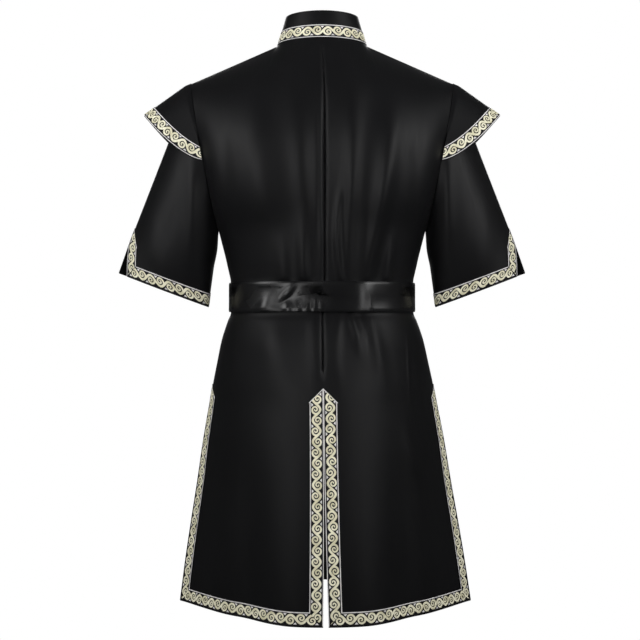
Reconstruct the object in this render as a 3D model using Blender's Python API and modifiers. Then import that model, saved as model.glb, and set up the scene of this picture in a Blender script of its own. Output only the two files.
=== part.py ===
"""Medieval tunic of black satin with woven ribbon trim and a broad belt, in the form it has when worn.

Metres, +Z up, the front towards -Y and the wearer's left towards +X. The origin is the middle of the
neck, level with the inner ends of the shoulder seams. Each piece is a grid of points bent to its worn
form and given a thickness. A ribbon takes the points of the piece that it is sewn to, moved out.
"""

import math

import bmesh
import bpy
import numpy as np

BACK, FRONT = 1, -1
LEFT, RIGHT = 1, -1
OUTWARDS, INWARDS = 1, -1
HANDS = {"left": LEFT, "right": RIGHT}
FACES = {"back": BACK, "front": FRONT}

# Thicknesses and clearances
CLOTH = 0.0015
RIBBON = 0.0008
LEATHER = 0.0025
RIBBON_LIFT = 0.0009
CENTRE_SEAM = 0.0004
SIDE_SEAM = 0.0009
RIBBON_SEAM = 0.0003
MERGE = 0.00001

# Ribbon, neck and shoulders
RIBBON_WIDTH = 0.024
NECK_HALF_WIDTH = 0.079
NECK_DEPTH = {BACK: 0.062, FRONT: 0.075}
NECK_LEVEL = {BACK: 0.001, FRONT: -0.065}
SHOULDER = (0.234, -0.068)

# Armhole, an ellipse that leans in towards the underarm
UNDERARM = (0.185, -0.330)
ARMHOLE_DEPTH = 0.066
FULLNESS = {BACK: 0.008, FRONT: 0.006}

# Skirt levels, and how far each half of a vent stands open at the hem
VENT_PEAK = -0.604
VENT_TOP = -0.628
HEM = -0.989
WAIST = -0.449
VENT_OPEN = {BACK: 0.0045, FRONT: 0.0}
SIDE_VENT_OPEN = 0.008
SKIRT_SWAY = -0.006

# Sections of the body from the hem up. At 1 in the column "point" a section is an ellipse, and at 2 its
# sides come to a point, as they do where the side vents hang open.
BODY = np.array(
    [
        (HEM, 0.2588, 0.193, 0.162, 2.00),
        (HEM + RIBBON_WIDTH, 0.2555, 0.190, 0.161, 2.00),
        (-0.920, 0.2493, 0.184, 0.158, 1.97),
        (-0.848, 0.2380, 0.174, 0.154, 1.92),
        (-0.777, 0.2262, 0.164, 0.149, 1.85),
        (-0.705, 0.2150, 0.154, 0.143, 1.75),
        (VENT_TOP, 0.2010, 0.143, 0.137, 1.62),
        (VENT_PEAK, 0.1968, 0.139, 0.134, 1.50),
        (-0.562, 0.1885, 0.132, 0.131, 1.35),
        (-0.526, 0.1815, 0.126, 0.128, 1.20),
        (-0.492, 0.1715, 0.118, 0.124, 1.05),
        (-0.477, 0.1632, 0.1095, 0.1195, 1.00),
        (-0.421, 0.1632, 0.1095, 0.1195, 1.00),
        (-0.405, 0.1685, 0.114, 0.1245, 1.00),
        (-0.380, 0.1745, 0.117, 0.1265, 0.95),
        (-0.352, 0.1795, 0.119, 0.128, 0.95),
        (UNDERARM[1], UNDERARM[0], 0.120, 0.129, 0.95),
    ],
    dtype=[("z", float), ("half_width", float), ("back", float), ("front", float), ("point", float)],
)

# Depth of the body on its centre lines above the underarm, from the underarm up to the neckline
CENTRE_BACK = np.array(
    [(-0.330, 0.120), (-0.250, 0.123), (-0.180, 0.122), (-0.100, 0.108), (-0.050, 0.088), (0.001, 0.062)],
    dtype=[("z", float), ("depth", float)],
)
CENTRE_FRONT = np.array(
    [(-0.330, 0.129), (-0.250, 0.128), (-0.180, 0.122), (-0.120, 0.106), (-0.065, 0.075)],
    dtype=[("z", float), ("depth", float)],
)
CENTRE_LINE = {BACK: CENTRE_BACK, FRONT: CENTRE_FRONT}

# The largest folds. A fold runs straight from its top to its foot, stands out most midway and is a
# trough where its rise is below zero. One whose foot is below the hem still stands out at the hem. A
# power below 1 keeps a fold's rise nearly even along its length.
FOLD_EVENNESS = 0.7
FOLDS = np.array(
    [
        (BACK, -0.050, -0.080, -0.044, -0.419, 0.006, 0.014),
        (BACK, -0.127, -0.120, -0.063, -0.419, 0.009, 0.017),
        (BACK, 0.130, -0.110, 0.062, -0.419, 0.007, 0.020),
        (BACK, 0.034, -0.180, 0.030, -0.419, 0.004, 0.013),
        (BACK, 0.080, -0.480, 0.088, -0.680, 0.007, 0.020),
        (BACK, -0.030, -0.480, -0.032, -0.640, 0.005, 0.013),
        (BACK, -0.072, -0.480, -0.104, -0.700, 0.008, 0.016),
        (BACK, 0.060, -0.600, 0.070, -1.350, 0.006, 0.032),
        (BACK, 0.118, -0.600, 0.150, -1.350, -0.007, 0.026),
        (BACK, -0.070, -0.640, -0.080, -1.350, 0.006, 0.032),
        (BACK, -0.118, -0.560, -0.160, -1.350, -0.006, 0.024),
        (FRONT, 0.110, -0.150, 0.055, -0.419, 0.006, 0.018),
        (FRONT, -0.115, -0.140, -0.050, -0.419, 0.007, 0.018),
        (FRONT, 0.060, -0.480, 0.075, -1.350, 0.008, 0.026),
        (FRONT, -0.066, -0.480, -0.090, -1.350, 0.008, 0.028),
        (FRONT, 0.122, -0.560, 0.160, -1.350, -0.006, 0.024),
        (FRONT, -0.130, -0.580, -0.165, -1.350, -0.006, 0.024),
    ],
    dtype=[
        ("face", int),
        ("top_x", float),
        ("top_z", float),
        ("foot_x", float),
        ("foot_z", float),
        ("rise", float),
        ("half_width", float),
    ],
)

# Half sleeve. The plane of its hem tilts up to the outer corner, where the hem comes to a point, and a
# vent opens there: its back edge falls away from the corner further than its front edge does.
SLEEVE_HEM_OUTER = (0.365, -0.405)
SLEEVE_HEM_INNER = (0.203, -0.466)
SLEEVE_HEM_DEPTH = 0.034
SLEEVE_SET_IN = 0.0018
SLEEVE_CLEARANCE = 0.0004
SLEEVE_FULLNESS = 0.008
SLEEVE_TUCK = 0.006
SLEEVE_RIBBON_LIFT = 0.0012
SLEEVE_ROWS = (0.0, 0.14, 0.28, 0.42, 0.56, 0.70, 0.819, 0.90, 1.0)
SLEEVE_PEAK_ROW = 6
SLEEVE_VENT_START = 0.84
SLEEVE_VENT_BACK = 0.024
SLEEVE_VENT_FRONT = 0.002

# Shoulder cap, sewn into the armhole from front to back and flaring out to a tip over the shoulder
CAP_TIP = (0.317, -0.127)
CAP_SEAM_TURN = math.radians(83)
CAP_END_TURN = math.radians(96)
CAP_DROOP = 1.55
CAP_SWELL = 0.006
CAP_LIFT = 0.0030
CAP_LIFT_OUTWARDS = 0.35
CAP_SHORTEST = 1.25 * RIBBON_WIDTH
CAP_ROWS = (0.0, 0.5, 1.0)

# Stand collar
COLLAR_HEIGHT = {BACK: 0.047, FRONT: 0.042}
COLLAR_LEAN = {BACK: 0.009, FRONT: 0.012}
COLLAR_SIDE_LEAN = 0.014
COLLAR_SEAM = 0.0006
COLLAR_SPLIT = math.radians(0.5)

# Belt, a band whose ends lap at the front
BELT_HALF_HEIGHT = 0.025
BELT_CLEARANCE = 0.0008
BELT_LAP = math.radians(14)
BELT_LAP_RISE = (math.radians(120), math.radians(160))
BELT_LAP_GAP = 0.0006

# Cells in each grid
BACK_CELLS, FRONT_CELLS = 17, 12
PANEL_CELLS = {BACK: BACK_CELLS, FRONT: FRONT_CELLS}
NECK_CELLS = {BACK: 7, FRONT: 5}
YOKE_CELLS = 8
SLEEVE_CELLS = 22
CAP_CELLS = 16
BELT_CELLS = 78
FINE_STEPS = 200

# Colour, roughness and metallic value of each finish
FINISHES = {
    "satin": ((0.012, 0.012, 0.014), 0.45, 0.0),
    "ribbon": ((0.52, 0.50, 0.38), 0.60, 0.0),
    "leather": ((0.010, 0.010, 0.011), 0.22, 0.0),
}


def empty_scene():
    for piece in list(bpy.data.objects):
        bpy.data.objects.remove(piece, do_unlink=True)


def blend(start, end, share):
    return start + (end - start) * share


def towards(point, target, distance):
    step = target - point
    return point + step * (distance / np.linalg.norm(step, axis=-1, keepdims=True))


def ease(value, start, end):
    """0 before start, 1 after end, and smooth between them."""
    share = np.clip((value - start) / (end - start), 0.0, 1.0)
    return share * share * (3.0 - 2.0 * share)


def body_at(column, z):
    return np.interp(z, BODY["z"], BODY[column])


def outward_normals(points, inside):
    """Unit normals of a grid of points, pointing away from the points inside it."""
    normals = np.cross(np.gradient(points, axis=1), np.gradient(points, axis=0))
    if np.sum(normals * (points - inside)) < 0:
        normals = -normals
    return normals / np.linalg.norm(normals, axis=-1, keepdims=True)


def finish_material(name, finish):
    colour, roughness, metallic = FINISHES[finish]
    material = bpy.data.materials.new(name + "_finish")
    material.use_nodes = True
    shader = material.node_tree.nodes["Principled BSDF"]
    shader.inputs["Base Color"].default_value = (*colour, 1.0)
    shader.inputs["Roughness"].default_value = roughness
    shader.inputs["Metallic"].default_value = metallic
    return material


def sheet(name, points, normals, thickness, side, finish):
    """A grid of points as a wall, thickened outwards or inwards from the points."""
    facing = np.cross(np.gradient(points, axis=1), np.gradient(points, axis=0))
    if np.sum(facing * normals) < 0:
        points = points[:, ::-1]
    rows, columns = points.shape[:2]
    form = bmesh.new()
    bmesh.ops.create_grid(form, x_segments=columns - 1, y_segments=rows - 1, size=1.0)
    for vertex, place in zip(form.verts, points.reshape(-1, 3)):
        vertex.co = place
    bmesh.ops.remove_doubles(form, verts=form.verts, dist=MERGE)
    mesh = bpy.data.meshes.new(name)
    form.to_mesh(mesh)
    form.free()
    mesh.shade_smooth()
    mesh.materials.append(finish_material(name, finish))
    piece = bpy.data.objects.new(name, mesh)
    wall = piece.modifiers.new("wall", "SOLIDIFY")
    wall.thickness = thickness
    wall.offset = side
    piece.parent = bpy.data.objects["tunic"]
    bpy.data.collections["medieval_tunic"].objects.link(piece)


def upright_ribbon(name, lifted, normals, top, edge, inner, set_in):
    """Ribbon on one edge of a vent, pointed at its top row and mitred at the hem."""
    strip = lifted[top:, [edge, inner]].copy()
    strip[:, 0] = towards(strip[:, 0], strip[:, 1], set_in)
    strip[0, 1] = strip[1, 1]
    strip[-1, 0] = towards(strip[-1, 0], strip[-2, 0], RIBBON_SEAM)
    strip[-2, 1] = towards(strip[-2, 1], strip[-3, 1], RIBBON_SEAM)
    strip[-1, 1] = strip[-2, 1]
    sheet(name, strip, normals[top:, [edge, inner]], RIBBON, OUTWARDS, "ribbon")


def hem_ribbon(name, lifted, normals, mitred_ends):
    """Ribbon on the bottom row, mitred where an upright ribbon meets it."""
    strip = lifted[-2:].copy()
    for end, step in mitred_ends:
        strip[1, end] = towards(strip[1, end], strip[1, end + step], RIBBON_SEAM)
        strip[0, end + step] = towards(strip[0, end + step], strip[0, end + 2 * step], RIBBON_SEAM)
        strip[0, end] = strip[0, end + step]
    sheet(name, strip, normals[-2:], RIBBON, OUTWARDS, "ribbon")


def stations(length, cells):
    """Places from 0 to 1 for the columns of a grid, with one ribbon's width at each end."""
    edge = RIBBON_WIDTH / length
    return np.concatenate([[0.0], np.linspace(edge, 1.0 - edge, cells - 1), [1.0]])


def vent_gap(z, seam, open_at_hem):
    """Half of the gap between two panels: a seam above the vent, widening to the hem."""
    return seam + open_at_hem * np.clip((VENT_TOP - z) / (VENT_TOP - HEM), 0.0, 1.0) ** 2


def section(face, angle, z):
    """Point of the body's left half at height z, from the centre line at 0 to the side at a right angle."""
    half_width = body_at("half_width", z)
    depth = body_at("back" if face == BACK else "front", z)
    centre = vent_gap(z, CENTRE_SEAM, VENT_OPEN[face])
    side = vent_gap(z, SIDE_SEAM, SIDE_VENT_OPEN)
    x = blend(centre, half_width, np.sin(angle))
    y = face * blend(side, depth, np.cos(angle) ** body_at("point", z))
    return np.stack([x, y, np.full_like(x, z)], axis=-1)


def section_row(face, z):
    """One row of a panel below the underarm, and the length of that row."""
    angles = np.linspace(0.0, math.pi / 2, FINE_STEPS)
    steps = np.linalg.norm(np.diff(section(face, angles, z), axis=0), axis=1)
    run = np.concatenate([[0.0], np.cumsum(steps)])
    places = stations(run[-1], PANEL_CELLS[face]) * run[-1]
    return section(face, np.interp(places, run, angles), z), run[-1]


def neckline(face, turn):
    """Point of the neck seam: turn is 0 on the centre line and a right angle at the shoulder."""
    x = NECK_HALF_WIDTH * np.sin(turn)
    y = face * NECK_DEPTH[face] * np.cos(turn)
    z = NECK_LEVEL[face] * np.cos(turn) ** 2
    return np.stack([x, y, z], axis=-1)


def neck_turns(face, place):
    """Turns along the neckline of a panel's columns, which reach the shoulder at its last neck column."""
    return np.minimum(place / place[NECK_CELLS[face]], 1.0) * math.pi / 2


def top_edge(face, place):
    """Top of a panel: the neckline, then the shoulder seam."""
    turn = neck_turns(face, place)
    start = place[NECK_CELLS[face]]
    along = np.clip((place - start) / (1.0 - start), 0.0, 1.0)
    edge = neckline(face, turn)
    edge[:, 0] += CENTRE_SEAM * np.cos(turn) + along * (SHOULDER[0] - NECK_HALF_WIDTH)
    edge[:, 1] = face * np.maximum(face * edge[:, 1], SIDE_SEAM)
    edge[:, 2] += along * SHOULDER[1]
    return edge


def armhole(turn):
    """Point of the left armhole: turn is 0 at the shoulder, rises over the back, and is pi at the underarm."""
    z = blend(UNDERARM[1], SHOULDER[1], 0.5 + 0.5 * np.cos(turn))
    x = blend(UNDERARM[0], SHOULDER[0], 0.5 + 0.5 * np.cos(turn))
    return np.stack([x, ARMHOLE_DEPTH * np.sin(turn), z], axis=-1)


def yoke_rows(face):
    """Rows of a panel from the shoulder down to the underarm, blended between its four edges."""
    bottom, length = section_row(face, UNDERARM[1])
    u = stations(length, PANEL_CELLS[face])
    t = np.linspace(1.0, 0.0, YOKE_CELLS + 1)
    line = CENTRE_LINE[face]
    centre_z = blend(line["z"][0], line["z"][-1], t)
    centre_y = face * np.interp(centre_z, line["z"], line["depth"])
    centre = np.stack([np.full_like(t, CENTRE_SEAM), centre_y, centre_z], axis=-1)
    arm = armhole(math.pi * (1.0 - t))
    arm[:, 1] = face * (arm[:, 1] + SIDE_SEAM)
    top = top_edge(face, u)
    t = t[:, None, None]
    u = u[None, :, None]
    near_top = t**2
    between_ends = blend(bottom[None], top[None], near_top)
    between_sides = blend(centre[:, None], arm[:, None], u)
    corners = blend(blend(bottom[0], bottom[-1], u), blend(top[0], top[-1], u), near_top)
    rows = between_ends + between_sides - corners
    rows[:, :, 1] += face * FULLNESS[face] * (np.sin(math.pi * u) * np.sin(math.pi * t))[:, :, 0]
    return rows


def fold_rise(face, x, z):
    rise = np.zeros_like(x)
    for fold in FOLDS[FOLDS["face"] == face]:
        run = np.clip((fold["top_z"] - z) / (fold["top_z"] - fold["foot_z"]), 0.0, 1.0)
        middle = blend(fold["top_x"], fold["foot_x"], run)
        across = (x - middle) / fold["half_width"]
        rise += fold["rise"] * np.sin(math.pi * run) ** FOLD_EVENNESS * np.exp(-(across**2))
    return rise


def panel_points(face, hand):
    """Points of one half of the back or front, from the shoulder down and from the centre line out."""
    skirt = [section_row(face, z)[0] for z in BODY["z"][-2::-1]]
    points = np.concatenate([yoke_rows(face), np.array(skirt)])
    points[:, :, 0] *= hand
    x, z = points[:, :, 0], points[:, :, 2]
    sides_lie_still = np.clip(1.0 - (x / body_at("half_width", z)) ** 2, 0.0, 1.0)
    points[:, :, 1] += face * fold_rise(face, x, z) * sides_lie_still
    points[:, :, 0] += SKIRT_SWAY * np.clip((WAIST - z) / (WAIST - HEM), 0.0, 1.0)
    return points


def make_panel(face_name, hand_name):
    face = FACES[face_name]
    points = panel_points(face, HANDS[hand_name])
    normals = outward_normals(points, points * (0, 0, 1))
    lifted = points + RIBBON_LIFT * normals
    peak = YOKE_CELLS + int(np.argmin(abs(BODY["z"][::-1] - VENT_PEAK)))
    sheet(f"{face_name}_{hand_name}", points, normals, CLOTH, INWARDS, "satin")
    mitred_ends = [(-1, -1)]
    if face == BACK:
        mitred_ends.append((0, 1))
        upright_ribbon(f"ribbon_back_vent_{hand_name}", lifted, normals, peak, 0, 1, 0.0)
    upright_ribbon(f"ribbon_{face_name}_side_{hand_name}", lifted, normals, peak, -1, -2, 0.0)
    hem_ribbon(f"ribbon_{face_name}_hem_{hand_name}", lifted, normals, mitred_ends)


def sleeve_hem(turn):
    """Point of the left sleeve's hem: turn is 0 at its pointed outer corner and pi at its round inner side."""
    share = 0.5 + 0.5 * np.cos(turn)
    x = blend(SLEEVE_HEM_INNER[0], SLEEVE_HEM_OUTER[0], share)
    y = SLEEVE_HEM_DEPTH * np.sin(turn) * np.where(share > 0.5, abs(np.sin(turn)), 1.0)
    z = blend(SLEEVE_HEM_INNER[1], SLEEVE_HEM_OUTER[1], share)
    return np.stack([x, y, z], axis=-1)


def sleeve_start(turn):
    """Point where the sleeve begins, just off the armhole."""
    start = towards(armhole(turn), sleeve_hem(turn), SLEEVE_SET_IN)
    start[..., 0] += SLEEVE_CLEARANCE
    return start


def sleeve_points(hand):
    """Points of a sleeve from the armhole down, and round from one edge of its vent to the other."""
    turns = np.linspace(0.0, 2 * math.pi, FINE_STEPS)
    girth = np.concatenate([[0.0], np.cumsum(np.linalg.norm(np.diff(sleeve_hem(turns), axis=0), axis=1))])
    place = stations(girth[-1], SLEEVE_CELLS)
    turn = np.interp(place * girth[-1], girth, turns)
    length = np.linalg.norm(sleeve_hem(turn) - sleeve_start(turn), axis=1)
    run = np.outer(SLEEVE_ROWS, 1.0 - RIBBON_WIDTH / length)
    run = np.concatenate([run, np.ones((1, len(place)))])
    opened = np.clip((run - SLEEVE_VENT_START) / (1.0 - SLEEVE_VENT_START), 0.0, 1.0)
    along = blend(SLEEVE_VENT_BACK * opened, girth[-1] - SLEEVE_VENT_FRONT * opened, place)
    turn = np.interp(along, girth, turns)
    points = blend(sleeve_start(turn), sleeve_hem(turn), run[..., None])
    points[..., 1] += SLEEVE_FULLNESS * np.sin(math.pi * run) * np.sin(turn)
    underneath = np.maximum(0.0, -np.cos(turn)) ** 2
    points[..., 0] -= SLEEVE_TUCK * underneath * np.sin(math.pi * np.minimum(2 * run, 1.0))
    points[..., 0] *= hand
    return points


def make_sleeve(hand_name):
    points = sleeve_points(HANDS[hand_name])
    normals = outward_normals(points, points.mean(axis=1, keepdims=True))
    lifted = points + SLEEVE_RIBBON_LIFT * normals
    sheet(f"sleeve_{hand_name}", points, normals, CLOTH, INWARDS, "satin")
    hem_ribbon(f"ribbon_sleeve_hem_{hand_name}", lifted, normals, [(0, 1), (-1, -1)])
    for edge_name, edge, inner in (("back", 0, 1), ("front", -1, -2)):
        name = f"ribbon_sleeve_vent_{edge_name}_{hand_name}"
        upright_ribbon(name, lifted, normals, SLEEVE_PEAK_ROW, edge, inner, RIBBON_SEAM)


def cap_points(hand):
    """Points of a shoulder cap from the armhole seam out to its free edge, and from front to back."""
    place = np.linspace(-1.0, 1.0, CAP_CELLS + 1)
    seam = armhole(place * CAP_SEAM_TURN)
    end = armhole(np.sign(place) * CAP_END_TURN)
    quarter = abs(place) * math.pi / 2
    free = np.stack(
        [
            blend(end[:, 0], CAP_TIP[0], np.cos(quarter)),
            end[:, 1] * np.sin(quarter) + np.sign(place) * CAP_SWELL * np.sin(2 * quarter),
            blend(end[:, 2], CAP_TIP[1], np.cos(quarter) ** CAP_DROOP),
        ],
        axis=-1,
    )
    free[place == 0] = (CAP_TIP[0], 0.0, CAP_TIP[1])
    length = np.linalg.norm(free - seam, axis=1)
    share = np.outer(CAP_ROWS, 1.0 - RIBBON_WIDTH / np.maximum(length, CAP_SHORTEST))
    share = np.concatenate([share, np.ones((1, len(place)))])
    points = blend(seam, free, share[..., None])
    turn = place * CAP_SEAM_TURN
    lift = np.stack([np.full_like(turn, CAP_LIFT_OUTWARDS), np.sin(turn), np.cos(turn)], axis=-1)
    points += CAP_LIFT * lift / np.linalg.norm(lift, axis=-1, keepdims=True)
    points[..., 0] *= hand
    return points


def make_cap(hand_name):
    hand = HANDS[hand_name]
    points = cap_points(hand)
    middle = (hand * (UNDERARM[0] + SHOULDER[0]) / 2, 0.0, (UNDERARM[1] + SHOULDER[1]) / 2)
    normals = outward_normals(points, np.array(middle))
    sheet(f"cap_{hand_name}", points, normals, CLOTH, INWARDS, "satin")
    hem_ribbon(f"ribbon_cap_{hand_name}", points + RIBBON_LIFT * normals, normals, [])


def collar_turns():
    """Turns round the collar, 0 at the centre back, at the columns of the panels that it is sewn to."""
    back, front = (
        neck_turns(face, stations(section_row(face, UNDERARM[1])[1], PANEL_CELLS[face]))[: NECK_CELLS[face] + 1]
        for face in (BACK, FRONT)
    )
    front[0] = COLLAR_SPLIT
    half = np.concatenate([back, math.pi - front[-2::-1]])
    return np.concatenate([-half[:0:-1], half])


def collar_points():
    """Points of the collar from the neck seam up, and round from the front over the wearer's right."""
    turn = collar_turns()
    behind = np.cos(turn) >= 0
    base = np.where(behind[:, None], neckline(BACK, turn), neckline(FRONT, math.pi - turn))
    to_front = np.clip(-np.cos(turn), 0.0, 1.0)
    height = blend(COLLAR_HEIGHT[BACK], COLLAR_HEIGHT[FRONT], to_front)
    lean = np.where(behind, COLLAR_LEAN[BACK], COLLAR_LEAN[FRONT])
    base[:, 2] += COLLAR_SEAM
    rise = np.stack([-COLLAR_SIDE_LEAN * np.sin(turn), -lean * np.cos(turn), height], axis=-1)
    share = RIBBON_WIDTH / np.linalg.norm(rise, axis=1, keepdims=True)
    return np.array([base, base + rise * share, base + rise])


def make_collar():
    points = collar_points()
    normals = outward_normals(points, points * (0, 0, 1))
    sheet("collar", points, normals, CLOTH, INWARDS, "satin")
    sheet("ribbon_collar", points[:2] + RIBBON_LIFT * normals[:2], normals[:2], RIBBON, OUTWARDS, "ribbon")


def belt_points():
    """Inner face of the belt, from the end that lies underneath to the end that laps over it."""
    turn = np.linspace(-math.pi - BELT_LAP, math.pi + BELT_LAP, BELT_CELLS + 1)
    stand_off = BELT_CLEARANCE + (LEATHER + BELT_LAP_GAP) * ease(turn, *BELT_LAP_RISE)
    depth = np.where(np.cos(turn) > 0, body_at("back", WAIST), body_at("front", WAIST))
    x = (body_at("half_width", WAIST) + stand_off) * np.sin(turn)
    y = (depth + stand_off) * np.cos(turn)
    lower, upper = WAIST - BELT_HALF_HEIGHT, WAIST + BELT_HALF_HEIGHT
    return np.array([np.stack([x, y, np.full_like(x, z)], axis=-1) for z in (upper, lower)])


def make_belt():
    points = belt_points()
    normals = outward_normals(points, points * (0, 0, 1))
    sheet("belt", points, normals, LEATHER, OUTWARDS, "leather")


empty_scene()
bpy.context.scene.collection.children.link(bpy.data.collections.new("medieval_tunic"))
bpy.data.collections["medieval_tunic"].objects.link(bpy.data.objects.new("tunic", None))
for hand in HANDS:
    for face in FACES:
        make_panel(face, hand)
    make_sleeve(hand)
    make_cap(hand)
make_collar()
make_belt()
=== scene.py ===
"""Looks of a medieval tunic of black satin with woven scroll ribbon and a belt, seen from behind."""

import math

import bmesh
import bpy
import numpy as np
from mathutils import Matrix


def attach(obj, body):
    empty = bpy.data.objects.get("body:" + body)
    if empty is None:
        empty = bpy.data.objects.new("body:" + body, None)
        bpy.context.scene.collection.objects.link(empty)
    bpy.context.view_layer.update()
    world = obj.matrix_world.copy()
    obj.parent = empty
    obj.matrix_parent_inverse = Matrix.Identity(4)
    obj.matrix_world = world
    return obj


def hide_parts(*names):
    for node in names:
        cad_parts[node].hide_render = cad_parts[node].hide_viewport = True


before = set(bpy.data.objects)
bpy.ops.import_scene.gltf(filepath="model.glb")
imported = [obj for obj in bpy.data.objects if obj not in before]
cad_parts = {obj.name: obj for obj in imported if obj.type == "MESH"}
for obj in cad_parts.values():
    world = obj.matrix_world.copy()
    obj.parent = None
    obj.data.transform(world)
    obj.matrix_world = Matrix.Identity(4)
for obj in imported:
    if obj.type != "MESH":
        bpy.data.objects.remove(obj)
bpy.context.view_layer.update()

# Back: two halves of black satin, seamed down the middle to the top of the vent and sewn to the fronts at
# the shoulders and sides. The belt gathers the spare width into upright folds that differ from side to side.
BACK, FRONT = 1, -1
LEFT, RIGHT = 1, -1
HANDS = {"left": LEFT, "right": RIGHT}
CLOTH = 0.0012
RIBBON_WIDTH = 0.024
NECK_HALF_WIDTH = 0.079
NECK_DEPTH = {BACK: 0.062, FRONT: 0.075}
NECK_LEVEL = {BACK: 0.001, FRONT: -0.065}
NECK_SHARE = 0.4
SHOULDER = (0.234, -0.068)
UNDERARM = (0.185, -0.330)
ARMHOLE_DEPTH = 0.066
FULLNESS = {BACK: 0.004, FRONT: 0.006}
VENT_PEAK = -0.604
VENT_TOP = -0.628
HEM = -0.989
WAIST = -0.449
BELT_TOP = -0.424
VENT_OPEN = {BACK: 0.0045, FRONT: 0.0}
SIDE_VENT_OPEN = 0.008
SKIRT_SWAY = -0.006
EDGE_CELLS = 8
PANEL_CELLS = {BACK: 100, FRONT: 60}
YOKE_ROWS, BODICE_ROWS, SKIRT_ROWS = 84, 72, 92
FINE_STEPS = 400
SOFTENING_ROUNDS, SOFTENING_END = 60, -0.395
CORNER_ROUNDS = 300
CORNER_REACH = 0.955
SHOULDER_ROUND, SHOULDER_DROP = 0.006, 0.05
BELT_HOLD = (0.0235, 0.032)
BODICE_SWAY, BODICE_SWAY_TOP = -0.0045, -0.12

# Sections of the body from the hem up, as z, half width, depth of the back, depth of the front and point
BODY = np.array(
    [
        (HEM, 0.2588, 0.193, 0.162, 2.30),
        (HEM + RIBBON_WIDTH, 0.2555, 0.190, 0.161, 2.28),
        (-0.920, 0.2493, 0.184, 0.158, 2.22),
        (-0.848, 0.2380, 0.174, 0.154, 2.12),
        (-0.777, 0.2262, 0.164, 0.149, 2.00),
        (-0.705, 0.2150, 0.154, 0.143, 1.82),
        (VENT_TOP, 0.2010, 0.143, 0.137, 1.62),
        (VENT_PEAK, 0.1968, 0.139, 0.134, 1.50),
        (-0.562, 0.1885, 0.132, 0.131, 1.35),
        (-0.526, 0.1805, 0.125, 0.127, 1.20),
        (-0.492, 0.1690, 0.1150, 0.1222, 1.05),
        (-0.477, 0.1632, 0.1095, 0.1195, 1.00),
        (-0.421, 0.1632, 0.1095, 0.1195, 1.00),
        (-0.405, 0.1662, 0.1117, 0.1220, 1.00),
        (-0.380, 0.1722, 0.1150, 0.1250, 0.95),
        (-0.352, 0.1795, 0.119, 0.128, 0.95),
        (UNDERARM[1], UNDERARM[0], 0.120, 0.129, 0.95),
    ],
    dtype=[("z", float), ("half_width", float), ("back", float), ("front", float), ("point", float)],
)

# Depth on the centre lines above the underarm
CENTRE_LINE_TYPE = [("z", float), ("depth", float)]
CENTRE_LINE = {
    BACK: np.array(
        [
            (-0.330, 0.120),
            (-0.250, 0.123),
            (-0.180, 0.122),
            (-0.100, 0.108),
            (-0.050, 0.088),
            (0.001, 0.062),
        ],
        dtype=CENTRE_LINE_TYPE,
    ),
    FRONT: np.array(
        [(-0.330, 0.129), (-0.250, 0.128), (-0.180, 0.122), (-0.120, 0.106), (-0.065, 0.075)],
        dtype=CENTRE_LINE_TYPE,
    ),
}

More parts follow.
